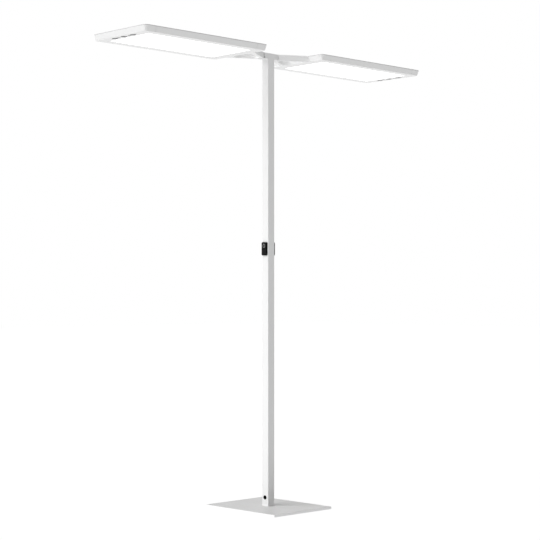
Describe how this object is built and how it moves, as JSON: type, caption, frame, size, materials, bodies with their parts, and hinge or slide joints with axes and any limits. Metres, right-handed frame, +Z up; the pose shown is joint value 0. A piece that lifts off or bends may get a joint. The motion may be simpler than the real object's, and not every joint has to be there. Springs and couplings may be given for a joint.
{
  "type": "floor lamp",
  "caption": "Office floor lamp with flat light heads on forked arms either side of a square mast, a flat rectangular base plate and push-key control units on the mast.",
  "frame": {"origin": "middle of the base's underside, on the floor under the mast", "axes": "+Z up along the mast, +X along the two heads, +Y to the back"},
  "size_m": [1.632, 0.424, 1.95],
  "materials": {
    "white_coated_aluminium": "fine satin powder coat, white",
    "base_steel_paint": "fine satin powder coat, white",
    "pad_rubber": "matt sheet rubber",
    "control_housing_plastic": "fine-grained black",
    "key_plastic": "fine-grained black",
    "circuit_board": "solder-resist green",
    "led_board": "white board with yellow light chips",
    "opal_diffuser": "opal satin sheet, lit",
    "clear_acrylic": "clear acrylic sheet",
    "white_reflector": "white film",
    "bare_aluminium": "mill finish",
    "driver_case": "smooth white",
    "smoked_plastic": "smoked, slightly clear",
    "inlet_plastic": "matt black",
    "spacer_foam": "moulded grey",
    "cable_sheath": "smooth light grey sheath",
    "terminal_plastic": "moulded white",
    "black_steel": "black oxide",
    "white_screw_steel": "painted white heads",
    "plated_steel": "zinc plated"
  },
  "bodies": {
    "stand": {"arm_grub_screws": "black_steel", "base_pad": "pad_rubber", "base_plate": "base_steel_paint", "cable_inlet": "inlet_plastic", "hub_body": "white_coated_aluminium", "hub_cover": "white_coated_aluminium", "hub_cover_screws": "white_screw_steel", "inlet_nut": "inlet_plastic", "left_carrier_plate": "bare_aluminium", "left_control_board": "circuit_board", "left_control_housing": "control_housing_plastic", "left_cover_screws": "white_screw_steel", "left_diffuser": "opal_diffuser", "left_forked_arm": "white_coated_aluminium", "left_front_rail": "white_coated_aluminium", "left_head_cable": "cable_sheath", "left_led_driver": "driver_case", "left_led_strips": "led_board", "left_light_guide": "clear_acrylic", "left_outer_end_cap": "white_coated_aluminium", "left_rail_screws": "plated_steel", "left_rear_rail": "white_coated_aluminium", "left_reflector": "white_reflector", "left_sensor_board": "circuit_board", "left_sensor_lens": "smoked_plastic", "left_sensor_windows": "smoked_plastic", "left_top_cover": "white_coated_aluminium", "mast_cable": "cable_sheath", "mast_cable_clips": "spacer_foam", "mast_foot_block": "bare_aluminium", "mast_foot_bolts": "plated_steel", "mast_foot_screws": "white_screw_steel", "mast_top_screws": "white_screw_steel", "mast_tube": "white_coated_aluminium", "right_carrier_plate": "bare_aluminium", "right_control_board": "circuit_board", "right_control_housing": "control_housing_plastic", "right_cover_screws": "white_screw_steel", "right_diffuser": "opal_diffuser", "right_forked_arm": "white_coated_aluminium", "right_front_rail": "white_coated_aluminium", "right_head_cable": "cable_sheath", "right_led_driver": "driver_case", "right_led_strips": "led_board", "right_light_guide": "clear_acrylic", "right_outer_end_cap": "white_coated_aluminium", "right_rail_screws": "plated_steel", "right_rear_rail": "white_coated_aluminium", "right_reflector": "white_reflector", "right_sensor_board": "circuit_board", "right_sensor_lens": "smoked_plastic", "right_sensor_windows": "smoked_plastic", "right_top_cover": "white_coated_aluminium", "terminal_block": "terminal_plastic"},
    "left_lower_key": {"left_lower_key": "key_plastic"},
    "left_upper_key": {"left_upper_key": "key_plastic"},
    "right_lower_key": {"right_lower_key": "key_plastic"},
    "right_upper_key": {"right_upper_key": "key_plastic"}
  },
  "joints": [
    {"name": "left_lower_key_press", "type": "slide", "parent": "stand", "child": "left_lower_key", "axis": [1, 0, 0], "range_m": [0, 0.0008], "stiffness_N_per_m": 1500},
    {"name": "left_upper_key_press", "type": "slide", "parent": "stand", "child": "left_upper_key", "axis": [1, 0, 0], "range_m": [0, 0.0008], "stiffness_N_per_m": 1500},
    {"name": "right_lower_key_press", "type": "slide", "parent": "stand", "child": "right_lower_key", "axis": [-1, 0, 0], "range_m": [0, 0.0008], "stiffness_N_per_m": 1500},
    {"name": "right_upper_key_press", "type": "slide", "parent": "stand", "child": "right_upper_key", "axis": [-1, 0, 0], "range_m": [0, 0.0008], "stiffness_N_per_m": 1500}
  ]
}
